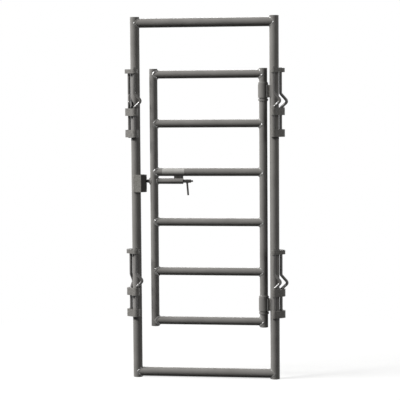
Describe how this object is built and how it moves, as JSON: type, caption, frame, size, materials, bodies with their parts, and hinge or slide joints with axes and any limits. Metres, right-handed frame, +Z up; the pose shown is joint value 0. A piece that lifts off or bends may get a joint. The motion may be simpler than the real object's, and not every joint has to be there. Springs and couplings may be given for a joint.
{
  "type": "alley control gate",
  "caption": "Welded round-tube frame with a two-way swinging tube gate, a slide-bolt latch and kinked drop-pin connectors on both posts, for a livestock alley.",
  "frame": {"origin": "centre of the hinge post's flat foot", "axes": "+X from the latch post to the hinge post, +Y from the front to the back, +Z up"},
  "size_m": [0.8943, 0.0906, 1.981],
  "materials": {
    "frame_paint": "semi-gloss grey paint over welded steel",
    "gate_paint": "semi-gloss grey paint over welded steel",
    "latch_paint": "semi-gloss grey paint over welded steel",
    "pin_paint": "semi-gloss grey paint over welded steel"
  },
  "bodies": {
    "frame": {"latch_post": "frame_paint", "hinge_post": "frame_paint", "frame_top_rail": "frame_paint", "frame_bottom_rail": "frame_paint", "latch_catch": "frame_paint", "upper_hinge_sleeve": "frame_paint", "lower_hinge_sleeve": "frame_paint", "upper_hinge_tab": "frame_paint", "lower_hinge_tab": "frame_paint", "latch_upper_lugs": "frame_paint", "latch_lower_lugs": "frame_paint", "hinge_upper_lugs": "frame_paint", "hinge_lower_lugs": "frame_paint"},
    "gate": {"gate_latch_upright": "gate_paint", "gate_hinge_upright": "gate_paint", "gate_rail_1": "gate_paint", "gate_rail_2": "gate_paint", "gate_rail_3": "gate_paint", "gate_rail_4": "gate_paint", "gate_rail_5": "gate_paint", "gate_rail_6": "gate_paint", "upper_hinge_top_collar": "gate_paint", "upper_hinge_bottom_collar": "gate_paint", "lower_hinge_top_collar": "gate_paint", "lower_hinge_bottom_collar": "gate_paint", "latch_sleeve": "gate_paint", "latch_bracket": "gate_paint"},
    "bolt": {"latch_bolt": "latch_paint", "latch_handle": "latch_paint"},
    "latch_upper_front_pin": {"latch_upper_front_pin": "pin_paint"},
    "latch_upper_outboard_pin": {"latch_upper_outboard_pin": "pin_paint"},
    "latch_lower_front_pin": {"latch_lower_front_pin": "pin_paint"},
    "latch_lower_outboard_pin": {"latch_lower_outboard_pin": "pin_paint"},
    "hinge_upper_front_pin": {"hinge_upper_front_pin": "pin_paint"},
    "hinge_upper_outboard_pin": {"hinge_upper_outboard_pin": "pin_paint"},
    "hinge_lower_front_pin": {"hinge_lower_front_pin": "pin_paint"},
    "hinge_lower_outboard_pin": {"hinge_lower_outboard_pin": "pin_paint"}
  },
  "joints": [
    {"name": "gate_swing", "type": "hinge", "parent": "frame", "child": "gate", "pos_m": [-0.06, 0, 0.285], "axis": [0, 0, 1], "range_deg": [-115, 105]},
    {"name": "bolt_slide", "type": "slide", "parent": "gate", "child": "bolt", "axis": [-1, 0, 0], "range_m": [-0.02, 0.014]},
    {"name": "latch_upper_front_lift", "type": "slide", "parent": "frame", "child": "latch_upper_front_pin", "axis": [0, 0, 1], "range_m": [0, 0.095]},
    {"name": "latch_upper_outboard_lift", "type": "slide", "parent": "frame", "child": "latch_upper_outboard_pin", "axis": [0, 0, 1], "range_m": [0, 0.095]},
    {"name": "latch_lower_front_lift", "type": "slide", "parent": "frame", "child": "latch_lower_front_pin", "axis": [0, 0, 1], "range_m": [0, 0.095]},
    {"name": "latch_lower_outboard_lift", "type": "slide", "parent": "frame", "child": "latch_lower_outboard_pin", "axis": [0, 0, 1], "range_m": [0, 0.095]},
    {"name": "hinge_upper_front_lift", "type": "slide", "parent": "frame", "child": "hinge_upper_front_pin", "axis": [0, 0, 1], "range_m": [0, 0.095]},
    {"name": "hinge_upper_outboard_lift", "type": "slide", "parent": "frame", "child": "hinge_upper_outboard_pin", "axis": [0, 0, 1], "range_m": [0, 0.095]},
    {"name": "hinge_lower_front_lift", "type": "slide", "parent": "frame", "child": "hinge_lower_front_pin", "axis": [0, 0, 1], "range_m": [0, 0.095]},
    {"name": "hinge_lower_outboard_lift", "type": "slide", "parent": "frame", "child": "hinge_lower_outboard_pin", "axis": [0, 0, 1], "range_m": [0, 0.095]}
  ]
}
